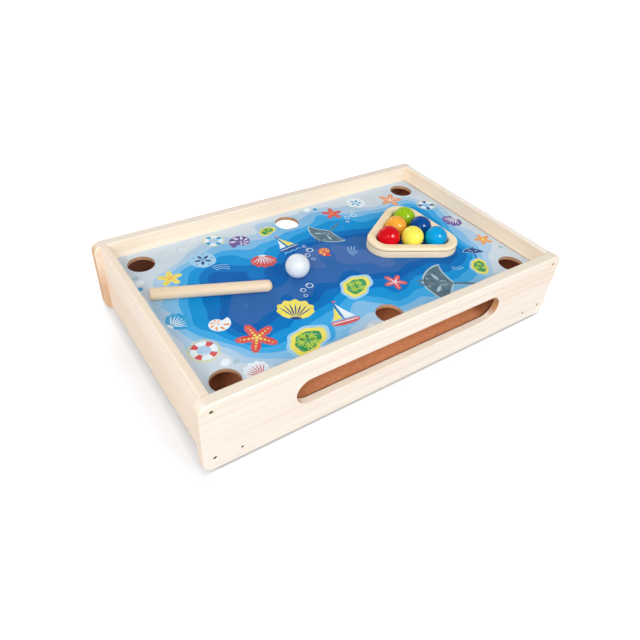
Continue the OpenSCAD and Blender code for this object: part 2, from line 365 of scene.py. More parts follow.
def wood_figure(tree, place, tones, turn, heart, ring_pitch):
    """The colour of plain wood with rings, streaks and pores, and its fibres as a height."""
    light, middle, dark = tones
    grain = along_grain(tree, place, turn, heart, 12)
    rings = add(tree, "ShaderNodeTexWave", wave_type="RINGS", rings_direction="X")
    feed(tree, rings.inputs["Vector"], grain)
    tune(rings, Scale=math.tau / 20 / ring_pitch, Distortion=9.0, Detail=1.0, Detail_Scale=0.25)
    broad = noise(tree, grain, 26.0, detail=2.0, distortion=0.4)
    streak = noise(tree, grain, 110.0, detail=3.0, distortion=0.8)
    tone = maths(tree, "MULTIPLY", rings.outputs["Fac"], RING_SHARE)
    tone = maths(tree, "ADD", tone, maths(tree, "MULTIPLY", broad, BROAD_SHARE))
    tone = maths(tree, "ADD", tone, maths(tree, "MULTIPLY", streak, STREAK_SHARE))
    colour = ramp(tree, tone, [(0.32, light), (0.54, middle), (0.78, dark)])

    fibre = noise(tree, along_grain(tree, place, turn, heart, 40), 1100.0, detail=3.0, roughness=0.6)
    pores = noise(tree, along_grain(tree, place, turn, heart, 9), 620.0, detail=1.0)
    colour = blend(tree, remap(tree, fibre, 0.5, 0.8, 0.0, 0.3), colour, dark)
    colour = blend(tree, remap(tree, pores, 0.68, 0.78, 0.0, 0.55), colour, dark)
    return colour, fibre


print("figure ready")

# %% [markdown]
# ## Rims, ends and walls
# A board isn't one colour all over. Its sawn ends drink more oil and go darker, and the wall of its
# slot is raw wood, given a paler tone that is partly painted light against the slot's shade. The faces
# that look up get a tone of painted shade, and the tray walls and the stubs past the end boards get
# painted shade in dark brown. The normal tells which way a face looks and Object coordinates tell
# where it lies, so one material holds all of this.

# %% Rims, cut ends and glue lines
GLUE_TONE = screen(142, 98, 62)
GLUE_FADES = (0.25 * MM, 0.6 * MM)


def painted_top_shade(tree, colour, top_shade_tone):
    """Painted shade: a tone of its own on faces that look up."""
    upward = split(tree, add(tree, "ShaderNodeTexCoord").outputs["Normal"])["Z"]
    return blend(tree, remap(tree, upward, 0.75, 0.98, 0.0, 0.8), colour, top_shade_tone)


def on_cut_end(tree, turn):
    """1 where the saw went across the grain, and 0 on the long faces."""
    normal = add(tree, "ShaderNodeTexCoord").outputs["Normal"]
    facing = vector_maths(tree, "DOT_PRODUCT", normal, (math.cos(turn), math.sin(turn), 0))
    return remap(tree, maths(tree, "ABSOLUTE", facing), 0.5, 0.95)


def end_grain(tree, place, colour, end, end_tone, dark):
    """The warmer tone and the open pores of a cut end."""
    cut_pores = noise(tree, place, 1400.0, detail=2.0)
    end_colour = blend(tree, remap(tree, cut_pores, 0.5, 0.75, 0.0, 0.5), end_tone, dark)
    return blend(tree, maths(tree, "MULTIPLY", end, 0.85), colour, end_colour)


def glue_line(tree, place, colour, glue_z):
    """A thin brown line at one height."""
    off_seam = maths(tree, "ABSOLUTE", maths(tree, "SUBTRACT", split(tree, place)["Z"], glue_z))
    return blend(tree, remap(tree, off_seam, *GLUE_FADES, 0.85, 0.0), colour, GLUE_TONE)


print("rims, ends and glue ready")

# %% Inside the box
SLOT_REACH = 127 * MM
SLOT_CHAMFER = 3.5 * MM
SLOT_WALL_ENDS = (outer_back - 0.7 * MM, outer_back - 0.3 * MM)
# The slot wall is raw wood, its tone lifted paler as painted light against the slot's shade.
SLOT_SIDE_RAW_AND_LIT_TONE = screen(251, 238, 220)
SLOT_END_TONE = screen(218, 164, 116)
# Painted shade: the dark brown of the tray walls.
TRAY_SHADE_TONE = screen(142, 70, 30)
STUB_FADES = (stub_start - 1 * MM, stub_start + 1 * MM)


def under_field(tree, at):
    """1 between the tray floor and the field."""
    below = maths(tree, "LESS_THAN", at["Z"], field_z - 2 * MM)
    above = maths(tree, "GREATER_THAN", at["Z"], tray_low)
    return maths(tree, "MULTIPLY", below, above)


def slot_walls(tree, place, colour, at, level, end, dark):
    """Raw wood in the wall of a slot, lifted paler by painted light, with saw lines at its round ends.
    """
    in_slot = maths(tree, "LESS_THAN", at["X"], SLOT_REACH)
    in_wall = remap(tree, at["Y"], *SLOT_WALL_ENDS, 1.0, 0.0)
    in_slot = maths(tree, "MULTIPLY", maths(tree, "MULTIPLY", in_slot, in_wall), level)
    saw = noise(tree, along_grain(tree, place, math.pi / 2, (0, 0, 0), 14), 900.0, detail=1.0)
    saw_lines = maths(tree, "MULTIPLY", end, remap(tree, saw, 0.45, 0.7, 0.0, 0.5))
    cut_wall = blend(tree, end, SLOT_SIDE_RAW_AND_LIT_TONE, SLOT_END_TONE)
    return blend(tree, in_slot, colour, blend(tree, saw_lines, cut_wall, dark, "MULTIPLY"))


def painted_tray_shade(tree, colour, at, level, fibre, dark):
    """Painted shade in dark brown on the walls of the tray."""
    within = maths(tree, "LESS_THAN", at["X"], inner_right + 0.2 * MM)
    between = maths(tree, "LESS_THAN", at["Y"], inner_back + SLOT_CHAMFER - 0.1 * MM)
    inside = maths(tree, "MULTIPLY", maths(tree, "MULTIPLY", within, between), level)
    brown_shade = blend(tree, remap(tree, fibre, 0.3, 0.7), TRAY_SHADE_TONE, dark, "MULTIPLY")
    return blend(tree, maths(tree, "MULTIPLY", inside, 0.94), colour, brown_shade)


def painted_stub_shade(tree, colour, at, end_tone, stub_shade):
    """Painted shade, warm brown, on the lower half of the stubs that stand past the end boards."""
    stub = remap(tree, at["X"], *STUB_FADES, 0.0, stub_shade)
    low_down = remap(tree, at["Z"], field_z, field_z / 2)
    return blend(tree, maths(tree, "MULTIPLY", stub, low_down), colour, end_tone)


print("inside walls ready")


# %% Wood recipe
def bump(tree, height, distance, strength=1.0):
    """A normal from a height field, whose full step is distance metres."""
    made = add(tree, "ShaderNodeBump")
    tune(made, Distance=distance, Strength=strength)
    feed(tree, made.inputs["Height"], height)
    return made.outputs[0]


def make_wood(
    name, tones, grain_turn, heart, ring_pitch=7 * MM, end_tone=None, top_shade_tone=None, glue_z=None,
    in_box=False, stub_shade=0.0,
):
    """Light wood: tones are (light, middle, dark), grain_turn is the grain's angle about Z in degrees,
    heart is a point on the middle of the tree, end_tone is the cut end's colour, top_shade_tone the
    painted shade on faces that look up, glue_z the height of a glue line, in_box adds the walls of slot
    and tray to a wood that has an end_tone, and stub_shade is how far painted shade darkens the stubs."""
    material, tree, shader, place = new_finish(name)
    turn = math.radians(grain_turn)
    dark = tones[2]
    colour, fibre = wood_figure(tree, place, tones, turn, heart, ring_pitch)
    if top_shade_tone:
        colour = painted_top_shade(tree, colour, top_shade_tone)
    if end_tone:
        end = on_cut_end(tree, turn)
        colour = end_grain(tree, place, colour, end, end_tone, dark)
    if glue_z:
        colour = glue_line(tree, place, colour, glue_z)
    if in_box:
        at = split(tree, vector_maths(tree, "ABSOLUTE", place))
        level = under_field(tree, at)
        colour = slot_walls(tree, place, colour, at, level, end, dark)
        colour = painted_tray_shade(tree, colour, at, level, fibre, dark)
        colour = painted_stub_shade(tree, colour, at, end_tone, stub_shade)
    coat(tree, shader, colour, fibre, (0.5, 0.62), 0.25)
    feed(tree, shader.inputs["Normal"], bump(tree, fibre, 0.05 * MM, 0.5))
    return material


print("wood recipe ready")

# %% Wood on the boards
# Painted shade, warm brown, on the back board's stubs.
BACK_STUB_SHADE = 0.6


def dress(node, material):
    """Gives a CAD node one material."""
    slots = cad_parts[node].data.materials
    slots.clear()
    slots.append(material)


front_tones = [screen(253, 246, 237), screen(250, 238, 224), screen(239, 217, 195)]
back_tones = [screen(253, 239, 219), screen(249, 229, 203), screen(238, 206, 171)]
left_tones = [screen(254, 240, 225), screen(252, 234, 216), screen(245, 219, 193)]
right_tones = [screen(255, 238, 216), screen(252, 228, 200), screen(242, 206, 169)]
# Each row: tones, grain turn, heart, end tone, and the tone of painted shade on faces that look up.
board_woods = {
    "front_board": (front_tones, 0, (0, 10, -60), screen(244, 224, 202), screen(230, 217, 199)),
    # The back board's end tone is darker than the others: painted shade and a painted warm reflection
    # from its corner, over the end grain.
    "back_board": (back_tones, 0, (90, 40, 130), screen(216, 164, 122), screen(226, 213, 204)),
    "left_end_board": (left_tones, 90, (-150, 0, 125), screen(236, 206, 178), screen(230, 213, 191)),
    "right_end_board": (right_tones, 90, (150, 60, -40), screen(236, 206, 178), screen(238, 234, 228)),
    "left_tray_batten": (right_tones, 90, (-20, 0, 50), screen(228, 190, 154), None),
    "right_tray_batten": (left_tones, 90, (30, 0, -30), screen(228, 190, 154), None),
}
for node, (tones, turn, heart, end_tone, top_shade_tone) in board_woods.items():
    wood = make_wood(
        node + "_wood", tones, turn, Vector(heart) * MM, end_tone=end_tone, top_shade_tone=top_shade_tone,
        in_box=True, stub_shade=BACK_STUB_SHADE if node == "back_board" else 0.0,
    )
    dress(node, wood)
print("wood on", list(board_woods))

# %% [markdown]
# ## Pressed boards
# The field lies on a thin brown fibre board whose cut edge shows in the pockets, and the tray has a
# smooth reddish hardboard floor. Both are pressed fibres: fine mottling with a few darker flecks and
# no grain direction.


# %% Pressed board recipe
def make_pressed_board(name, light, dark, roughness):
    """Fibre board with mottling and flecks."""
    material, tree, shader, place = new_finish(name)
    mottle = noise(tree, place, 260.0, detail=5.0, roughness=0.65)
    flecks = noise(tree, place, 1100.0, detail=2.0)
    colour = blend(tree, remap(tree, mottle, 0.3, 0.7), light, dark)
    colour = blend(tree, remap(tree, flecks, 0.6, 0.78, 0.0, 0.5), colour, dark)
    coat(tree, shader, colour, mottle, (roughness, roughness + 0.12), 0.3)
    feed(tree, shader.inputs["Normal"], bump(tree, flecks, 0.04 * MM, 0.5))
    return material


field_board = make_pressed_board("field_fibre_board", screen(206, 164, 128), screen(178, 134, 98), 0.7)
dress("playfield_panel", field_board)
tray_board = make_pressed_board("tray_hardboard", screen(236, 160, 110), screen(220, 138, 90), 0.5)
dress("tray_floor", tray_board)
print("pressed boards on field and tray")

# %% [markdown]
# ## Screws and nails
# The heads sit in small holes, a little below the face of the board. Steel is metallic, with a fine
# scratched roughness. A dark disc of painted shade lies over the cross in the middle of a screw head.
# The four screws on a side stand at the corners of a rectangle, so folding X and Z about its middle
# puts all four heads on one spot, and one distance from that spot darkens them all.


# %% Fastener steel
# Painted shade over the cross: where it fades and its tone.
CROSS_SHADE_FADES = (0.5, 0.62)
CROSS_SHADE_TONE = screen(30, 20, 12)


def from_axis(tree, place, node, half_head):
    """The distance from the axis of the nearest fastener of a node."""
    low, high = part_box(node)
    at = split(tree, place)
    squares = []
    for axis, start, end in (("X", low.x, high.x), ("Z", low.z, high.z)):
        off = maths(tree, "ABSOLUTE", maths(tree, "SUBTRACT", at[axis], (start + end) / 2))
        off = maths(tree, "SUBTRACT", off, (end - start) / 2 - half_head)
        squares.append(maths(tree, "MULTIPLY", off, off))
    return maths(tree, "SQRT", maths(tree, "ADD", *squares))


def make_steel(node, half_head, dull, bright):
    """Scratched steel with a disc of painted shade in the middle of each head."""
    material, tree, shader, place = new_finish(node + "_steel")
    scratches = noise(tree, place, 2500.0, detail=3.0)
    off_axis = from_axis(tree, place, node, half_head)
    fades = [half_head * part for part in CROSS_SHADE_FADES]
    painted_cross_shade = remap(tree, off_axis, *fades, 1.0, 0.0)
    colour = blend(tree, painted_cross_shade, blend(tree, scratches, dull, bright), CROSS_SHADE_TONE)
    coat(tree, shader, colour, scratches, (0.35, 0.55), 0.5)
    tune(shader, Metallic=1.0)
    return material


steels = {
    "corner_screws": (2.4 * MM, screen(186, 172, 156), screen(224, 212, 198)),
    "bottom_nails": (1.2 * MM, screen(92, 80, 70), screen(132, 118, 104)),
}
for kind, (half_head, dull, bright) in steels.items():
    for node in ("front_" + kind, "back_" + kind):
        dress(node, make_steel(node, half_head, dull, bright))
    print("steel on the", kind)

# %% [markdown]
# ## The printed sea
# The sheet shows water that gets deeper towards the middle: pale shallows at the boards, then wavy
# bands of blue. The depth is the distance from the edge of a rounded rectangle, pushed in and out by
# two noises and shallower along the back. A ramp with constant steps turns it into flat bands, as a
# printer would.

# %% Bands of blue
BAND_REACH = 85 * MM
BAND_DEPTHS = 100 * MM
SWELL = 62 * MM
RIPPLE = 20 * MM
BACK_SHALLOWS = 14 * MM
SHALLOWS_START = 20 * MM
PRINT_WHITE = screen(235, 243, 250)
PRINT_ROUGHNESS = (0.46, 0.56)
PRINT_SPECULAR = 0.04

half_field = Vector(((inner_right - inner_left) / 2, (inner_back - inner_front) / 2, 0))
bands = [
    (0, (206, 219, 230)),
    (15, (174, 205, 231)),
    (26, (130, 190, 232)),
    (36, (64, 168, 228)),
    (46, (18, 146, 214)),
    (57, (0, 116, 192)),
    (68, (0, 96, 174)),
    # The grey in the two deepest bands is a painted sheen over the print's blue.
    (80, (48, 103, 172)),
    (91, (72, 110, 174)),
]


def wave_height(tree, place, scale, height):
    """A smooth noise that rises and falls about zero."""
    return maths(tree, "MULTIPLY", maths(tree, "SUBTRACT", noise(tree, place, scale, 0.0), 0.5), height)


sea, tree, shader, place = new_finish("printed_sea")
deep_corner = (half_field.x - BAND_REACH, half_field.y - BAND_REACH, 1.0)
past = vector_maths(tree, "SUBTRACT", vector_maths(tree, "ABSOLUTE", place), deep_corner)
reach = vector_maths(tree, "LENGTH", vector_maths(tree, "MAXIMUM", past))
depth = maths(tree, "SUBTRACT", BAND_REACH, reach)
depth = maths(tree, "ADD", depth, wave_height(tree, place, 13.0, SWELL))
depth = maths(tree, "ADD", depth, wave_height(tree, place, 34.0, RIPPLE))
shallows = remap(tree, split(tree, place)["Y"], SHALLOWS_START, half_field.y, 0.0, BACK_SHALLOWS)
depth = maths(tree, "SUBTRACT", depth, shallows)
step = remap(tree, depth, 0.0, BAND_DEPTHS)
water = ramp(tree, step, [(at / 100, screen(*colour)) for at, colour in bands], "CONSTANT")
wash = noise(tree, place, 60.0, detail=4.0)
water = blend(tree, remap(tree, wash, 0.35, 0.75, 0.0, 0.012), water, PRINT_WHITE)
coat(tree, shader, water, wash, PRINT_ROUGHNESS, PRINT_SPECULAR)
dress("playfield_print", sea)
print("bands of blue:", len(bands))

# %% [markdown]
# ## Motifs on the print
# A children's field is lively, so the water carries simple things from a holiday at the sea: islands,
# sail boats, lifebelts, sea stars, shells, rays, pebbles and bubbles. Each motif is a thin layer of
# ink, and there is one piece for each ink, as in screen printing. Most shapes are cut from a circle
# whose rim is pulled to the outline, and rings are a short line spun round a spot. Later layers lie a
# hundredth of a millimetre higher, which is less than the gap that the balls keep from the field.

# %% Inks
INK_STEP = 0.012 * MM
INK_DEPTH = 0.03 * MM
RIM_POINTS = 80

ink_colours = {
    "coral": (214, 74, 72),
    "orange": (240, 148, 70),
    "yellow": (238, 224, 92),
    "lime": (170, 204, 62),
    "leaf": (44, 150, 84),
    "white": (232, 242, 248),
    "ice": (158, 206, 238),
    "turquoise": (10, 158, 214),
    "navy": (28, 58, 128),
    "slate": (82, 110, 124),
    "mist": (166, 198, 208),
    "violet": (112, 84, 156),
}
ink_sheets = {name: bmesh.new() for name in ink_colours}


def ink_place(layer, spot, turn=0):
    """The place of a motif on the field: a spot in mm, a turn in degrees and the height of its layer."""
    place = Matrix.Translation((spot[0] * MM, spot[1] * MM, field_z + layer * INK_STEP))
    return place @ Matrix.Rotation(math.radians(turn), 4, "Z")


def print_shape(ink, layer, spot, turn, rim):
    """One flat shape: rim gives a point in mm for each angle round its middle."""
    sheet = ink_sheets[ink]
    made = bmesh.ops.create_circle(sheet, cap_ends=True, cap_tris=True, segments=RIM_POINTS, radius=1)
    for vert in made["verts"]:
        if vert.co.length > 0.5:
            x, y = rim(math.atan2(vert.co.y, vert.co.x))
            vert.co = (x * MM, y * MM, 0)
    bmesh.ops.transform(sheet, matrix=ink_place(layer, spot, turn), verts=made["verts"])


def print_patch(ink, layer, spot, turn, points):
    """A flat patch with a few corners in mm."""
    sheet = ink_sheets[ink]
    place = ink_place(layer, spot, turn)
    sheet.faces.new([sheet.verts.new(place @ Vector((x * MM, y * MM, 0))) for x, y in points])


def print_ring(ink, layer, spot, inner, outer, start=0, sweep=360):
    """A ring or part of one: a short line spun round the spot."""
    sheet = ink_sheets[ink]
    centre = ink_place(layer, spot).translation
    angle = math.radians(start)
    way = Vector((math.cos(angle), math.sin(angle), 0))
    ends = [sheet.verts.new(centre + way * reach * MM) for reach in (inner, outer)]
    line = sheet.edges.new(ends)
    bmesh.ops.spin(
        sheet, geom=ends + [line], cent=centre, axis=(0, 0, 1), angle=math.radians(sweep),
        steps=max(8, round(sweep / 8)), use_merge=sweep == 360,
    )


def lobed(radius, lobes, deep, sharp):
    """A rim with equal lobes: deep is how far the bays cut in, sharp how pointed the lobes are."""
    def rim(angle):
        reach = radius * (1 - deep + deep * abs(math.cos(angle * lobes / 2)) ** sharp)
        return reach * math.cos(angle), reach * math.sin(angle)
    return rim


def leaf(length, width):
    """A pointed oval along X."""
    def rim(angle):
        return length / 2 * math.cos(angle), width / 2 * math.sin(angle) * abs(math.sin(angle))
    return rim


def print_dot(ink, layer, spot, radius):
    """A plain disc."""
    print_shape(ink, layer, spot, 0, lambda angle: (radius * math.cos(angle), radius * math.sin(angle)))


def beside(spot, turn, along, across=0.0):
    """A spot moved along and across a direction."""
    angle = math.radians(turn)
    return (
        spot[0] + along * math.cos(angle) - across * math.sin(angle),
        spot[1] + along * math.sin(angle) + across * math.cos(angle),
    )


print("inks:", len(ink_colours))


# %% Sea stars and lifebelts
def sea_star(spot, radius, turn, ink, dots):
    """Five soft arms with a row of dots on each."""
    print_shape(ink, 1, spot, turn, lobed(radius, 5, 0.62, 1.7))
    print_dot(dots, 2, spot, radius * 0.09)
    for arm in range(5):
        way = turn + 72 * arm
        for step in range(1, 5):
            size = radius * (0.085 - 0.012 * step)
            print_dot(dots, 2, beside(spot, way, radius * 0.19 * step), size)


def lifebelt(spot, radius, turn, ink, bands):
    """A ring with four bands and a rope between them."""
    print_ring(ink, 1, spot, radius * 0.52, radius)
    for quarter in range(4):
        way = turn + 90 * quarter
        print_ring(bands, 2, spot, radius * 0.52, radius, way, 34)
        print_ring("yellow", 1, spot, radius * 1.1, radius * 1.18, way + 17, 90 - 8)


sea_star((-128, -62), 20, 20, "coral", "yellow")
sea_star((147, 82), 15, 50, "orange", "white")
sea_star((-160, 58), 13, 5, "yellow", "orange")
sea_star((38, -58), 13, 35, "coral", "white")
sea_star((185, -44), 11, 12, "orange", "yellow")
sea_star((60, 88), 13, 0, "coral", "orange")
lifebelt((-176, -54), 12, 20, "white", "coral")
lifebelt((180, 50), 10, 50, "white", "navy")
lifebelt((-92, 100), 10, 0, "white", "turquoise")
print("sea stars and lifebelts printed")


# %% Fan shells and sand dollars
def fan_shell(spot, radius, turn, ink, ribs):
    """A fan with a wavy edge, ribs and a small hinge."""
    def fan(angle):
        spread = angle * 0.42
        wave = 1 + 0.05 * math.cos(angle * 9)
        reach = radius * (0.18 + 1.55 * math.cos(angle / 2) ** 0.8 * wave)
        return reach * math.cos(spread) - radius * 0.7, reach * math.sin(spread) * 1.25
    print_shape(ink, 1, spot, turn, fan)
    hinge = beside(spot, turn, -radius * 0.58)
    print_shape(ribs, 2, hinge, turn + 90, leaf(radius * 0.75, radius * 0.26))
    for rib in range(-3, 4):
        way = turn + rib * 15
        middle = beside(hinge, way, radius * 0.74)
        print_shape(ribs, 2, middle, way, leaf(radius * 1.15, radius * 0.09))


def sand_dollar(spot, radius, turn, ink, mark):
    """A pale disc with five petals and a ring of dots."""
    print_shape(ink, 1, spot, turn, lobed(radius, 5, 0.05, 1.0))
    for petal in range(5):
        way = turn + 72 * petal
        print_shape(mark, 2, beside(spot, way, radius * 0.4), way, leaf(radius * 0.56, radius * 0.24))
        print_dot(mark, 2, beside(spot, way + 36, radius * 0.72), radius * 0.06)
    print_dot(mark, 2, spot, radius * 0.07)


fan_shell((-78, -48), 17, 60, "yellow", "navy")
fan_shell((184, 6), 12, 200, "violet", "white")
fan_shell((-182, -8), 12, 20, "turquoise", "white")
fan_shell((-148, -99), 11, 100, "white", "coral")
fan_shell((-62, 42), 13, 250, "coral", "white")
sand_dollar((-28, -107), 8, 10, "white", "turquoise")
sand_dollar((-118, 72), 14, 30, "ice", "navy")
sand_dollar((102, 96), 12, 50, "white", "turquoise")
print("fan shells and sand dollars printed")


# %% Islands and sail boats
def island(spot, radius, turn, palms):
    """An island from above: shallows, a sandy shore, green land and the crowns of palms."""
    def coast(reach):
        def rim(angle):
            wave = 1 + 0.12 * math.sin(2 * angle + 0.6) + 0.07 * math.sin(3 * angle + 2)
            wave += 0.04 * math.sin(7 * angle)
            return reach * wave * math.cos(angle), reach * wave * 0.78 * math.sin(angle)
        return rim
    for ink, layer, part in (("ice", 1, 0.86), ("yellow", 2, 0.72), ("leaf", 3, 0.52)):
        print_shape(ink, layer, spot, turn, coast(radius * part))
    for palm in range(palms):
        crown = beside(spot, turn + 20 + 360 * palm / palms, radius * 0.25)
        print_shape("lime", 4, crown, 25 * palm, lobed(radius * 0.2, 7, 0.72, 1.3))


def sail_boat(spot, size, turn, hull, sails):
    """A small boat from the side: a hull with a stripe, a mast, two sails, a flag and a wave below."""
    def hull_rim(angle):
        low = math.sin(angle) < 0
        return size * 0.5 * math.cos(angle), size * (-0.2 * abs(math.sin(angle)) ** 0.6 if low else 0.03)
    print_shape(hull, 1, spot, turn, hull_rim)
    for ink, layer, corners in (
        ("white", 2, ((-0.45, -0.06), (0.45, -0.06), (0.46, -0.02), (-0.46, -0.02))),
        ("navy", 1, ((-0.015, 0.05), (0.015, 0.05), (0.015, 1.0), (-0.015, 1.0))),
        (sails[0], 1, ((0.05, 0.1), (0.42, 0.1), (0.2, 0.5), (0.05, 0.86))),
        (sails[1], 1, ((-0.05, 0.1), (-0.05, 0.72), (-0.2, 0.38), (-0.38, 0.1))),
        ("coral", 1, ((0.02, 0.9), (0.2, 0.95), (0.02, 1.0))),
    ):
        print_patch(ink, layer, spot, turn, [(x * size, y * size) for x, y in corners])
    for wave in (-1, 0, 1):
        crest = beside(spot, turn, size * 0.3 * wave, -size * 0.44)
        print_ring("ice", 1, crest, size * 0.13, size * 0.17, turn + 30, 120)


island((-90, -88), 27, 10, 5)
island((-2, -44), 24, 15, 4)
island((140, -82), 18, 40, 3)
island((-30, 90), 14, 5, 3)
sail_boat((-44, -82), 30, -8, "coral", ("white", "yellow"))
sail_boat((-26, 50), 25, 6, "navy", ("yellow", "white"))
print("islands and sail boats printed")


# %% Rays
def ray(spot, span, turn, back, pale):
    """A ray seen from above: wings with a pale rim, two horns, a tail, shoulder marks and eyes."""
    def wings(angle):
        front, side = math.cos(angle), abs(math.sin(angle))
        x = 0.27 * front if front > 0 else -0.25 * abs(front) ** 2.4
        y = 0.5 * math.copysign(side**1.7, math.sin(angle))
        return span * (x - 0.12 * side**4), span * y
    def back_shape(angle):
        x, y = wings(angle)
        return x * 0.88 + span * 0.004, y * 0.91
    print_shape(back, 1, beside(spot, turn, -span * 0.42), turn, leaf(span * 0.6, span * 0.05))
    print_shape(pale, 1, spot, turn, wings)
    print_shape(back, 2, spot, turn, back_shape)
    for side in (-1, 1):
        horn = beside(spot, turn, span * 0.27, side * span * 0.055)
        print_shape(back, 2, horn, turn - side * 8, leaf(span * 0.16, span * 0.05))
        mark = beside(spot, turn, span * 0.03, side * span * 0.15)
        print_shape(pale, 3, mark, turn + side * 62, leaf(span * 0.2, span * 0.055))
        print_dot(pale, 3, beside(spot, turn, span * 0.17, side * span * 0.1), span * 0.014)
        for line in range(3):
            stroke = beside(spot, turn, -span * (0.04 + 0.035 * line), side * span * 0.05)
            print_shape(pale, 3, stroke, turn + side * 40, leaf(span * 0.07, span * 0.014))


ray((78, -82), 68, 150, "slate", "mist")
ray((24, 52), 50, 205, "slate", "mist")
ray((156, -56), 26, 60, "navy", "ice")
print("rays printed")


# %% Spiral shells and ripples
def spiral_shell(spot, radius, turn, ink, stripe):
    """A coiled shell: a rim that grows with the angle, stripes that grow with it and a coil of dots."""
    def coil(angle):
        reach = radius * (0.72 + 0.28 * angle / math.pi)
        return reach * math.cos(angle), reach * math.sin(angle)
    print_shape(ink, 1, spot, turn, coil)
    for band in range(7):
        angle = -150 + 46 * band
        reach = radius * (0.72 + 0.28 * angle / 180)
        middle = beside(spot, turn + angle, reach * 0.68)
        print_shape(stripe, 2, middle, turn + angle + 14, leaf(reach * 0.6, reach * 0.22))
    for bead in range(9):
        along_coil = beside(spot, turn + 50 * bead, radius * 0.035 * bead)
        print_dot(stripe, 2, along_coil, radius * 0.04)


spiral_shell((-66, 84), 15, 30, "violet", "white")
spiral_shell((-150, -28), 13, 200, "white", "orange")
spiral_shell((6, 24), 10, 100, "coral", "yellow")
foam = [
    ((-176, 26), 8, 150, 3),
    ((172, -10), 8, -60, 2),
    ((-110, 40), 9, 20, 3),
    ((44, 8), 8, 110, 3),
    ((118, -64), 7, 200, 2),
]
for spot, radius, start, count in foam:
    for row in range(count):
        inner = radius + 3.4 * row
        print_ring("ice", 1, spot, inner, inner + 0.9, start + 12 * row, 95 - 14 * row)
print("spiral shells and ripples printed")


# %% Pebbles and bubbles
def bubble(spot, radius, ink):
    """A thin ring with a glint."""
    print_ring(ink, 1, spot, radius * 0.78, radius)
    print_shape(ink, 1, beside(spot, 120, radius * 0.45), 30, leaf(radius * 0.5, radius * 0.24))


bubble_paths = [
    ((-146, 98), 12, 5),
    ((-14, 18), 80, 4),
    ((188, 30), 95, 1),
    ((-56, -32), 55, 3),
    ((66, 64), 40, 4),
]
for start, way, count in bubble_paths:
    for step in range(count):
        wobble = 3.5 * math.sin(step * 2.1)
        bubble(beside(start, way, 8.5 * step, wobble), 2.2 + 0.9 * (step % 3), "white")
pebble_rows = [
    ((-158, -80), 150, 2),
    ((34, -109), 0, 3),
    ((-190, 74), -90, 3),
    ((191, -66), -90, 1),
    ((28, 108), 0, 3),
]
for start, way, count in pebble_rows:
    for step in range(count):
        size = 3.4 + 1.4 * math.sin(step * 1.7)
        ink = ("mist", "white", "turquoise")[step % 3]
        spot = beside(start, way, 9.5 * step, 2 * math.sin(step * 2.6))
        print_shape(ink, 1, spot, 40 * step, lobed(size, 2, 0.25, 1.0))
print("pebbles and bubbles printed")


# %% Ink recipe
INK_THINS = 0.12


def finish_piece(name, skin, material, smooth=True):
    """A bmesh made into a dressed object, smooth or flat."""
    mesh = bpy.data.meshes.new(name)
    skin.to_mesh(mesh)
    skin.free()
    if smooth:
        mesh.shade_smooth()
    mesh.materials.append(material)
    piece = bpy.data.objects.new(name, mesh)
    bpy.context.collection.objects.link(piece)
    return piece


def make_ink(name, colour):
    """Printing ink: slightly uneven, satin."""
    material, tree, shader, place = new_finish(name)
    cover = noise(tree, place, 180.0, detail=3.0)
    thin = blend(tree, INK_THINS, colour, PRINT_WHITE)
    uneven = blend(tree, remap(tree, cover, 0.35, 0.75), colour, thin)
    coat(tree, shader, uneven, cover, PRINT_ROUGHNESS, PRINT_SPECULAR)
    return material


print("ink recipe ready")

# %% Lay the inks on the field
for name, sheet in ink_sheets.items():
    bmesh.ops.recalc_face_normals(sheet, faces=sheet.faces)
    for face in sheet.faces:
        if face.normal.z < 0:
            face.normal_flip()
    bmesh.ops.solidify(sheet, geom=sheet.faces[:], thickness=INK_DEPTH)
    heights = [(vert.co.z - field_z) / MM for vert in sheet.verts]
    ink = make_ink(name + "_ink", screen(*ink_colours[name]))
    piece = finish_piece(name + "_ink_layer", sheet, ink, smooth=False)
    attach(piece, "box")
    print(piece.name, "lies", round(min(heights), 3), "to", round(max(heights), 3), "mm above the field")

# %% [markdown]
# ## Painted balls
# Turned wooden balls are dipped in gloss paint while they are held between two pins, which leaves a
# small flat mark at each pole. A UV sphere has its poles in the right place already: the rings next to
# them are pressed in a little, and each ball is turned its own way so that the marks don't line up.

# %% Ball recipe
BALL_SEGMENTS = 64
BALL_RINGS = 40
PIN_MARK_RADIUS = 1.1 * MM
PIN_MARK_DEPTH = 0.12 * MM


def make_paint(name, colour, shade):
    """Gloss paint with a faint unevenness of colour and skin."""
    material, tree, shader, place = new_finish(name)
    cloud = noise(tree, place, 90.0, detail=3.0)
    uneven = blend(tree, remap(tree, cloud, 0.3, 0.7), colour, shade)
    coat(tree, shader, uneven, cloud, (0.16, 0.2), 0.08)
    peel = noise(tree, place, 700.0, detail=1.0)
    feed(tree, shader.inputs["Normal"], bump(tree, peel, 0.01 * MM, 0.3))
    return material


def make_ball(node, turn, paint):
    """A painted ball in place of its CAD node, turned about X and Y in degrees."""
    low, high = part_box(node)
    radius = (high.z - low.z) / 2
    skin = bmesh.new()
    bmesh.ops.create_uvsphere(skin, u_segments=BALL_SEGMENTS, v_segments=BALL_RINGS, radius=radius)
    for vert in skin.verts:
        if vert.co.xy.length < PIN_MARK_RADIUS:
            vert.co.z -= math.copysign(PIN_MARK_DEPTH, vert.co.z)
    tilt_x, tilt_y = [math.radians(angle) for angle in turn]
    spin = Matrix.Rotation(tilt_x, 4, "X") @ Matrix.Rotation(tilt_y, 4, "Y")
    bmesh.ops.transform(skin, matrix=Matrix.Translation((low + high) / 2) @ spin, verts=skin.verts)
    ball = finish_piece(node.replace("_ball", "_painted_ball"), skin, paint)
    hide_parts(node)
    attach(ball, node)
    return ball


print("ball recipe ready")

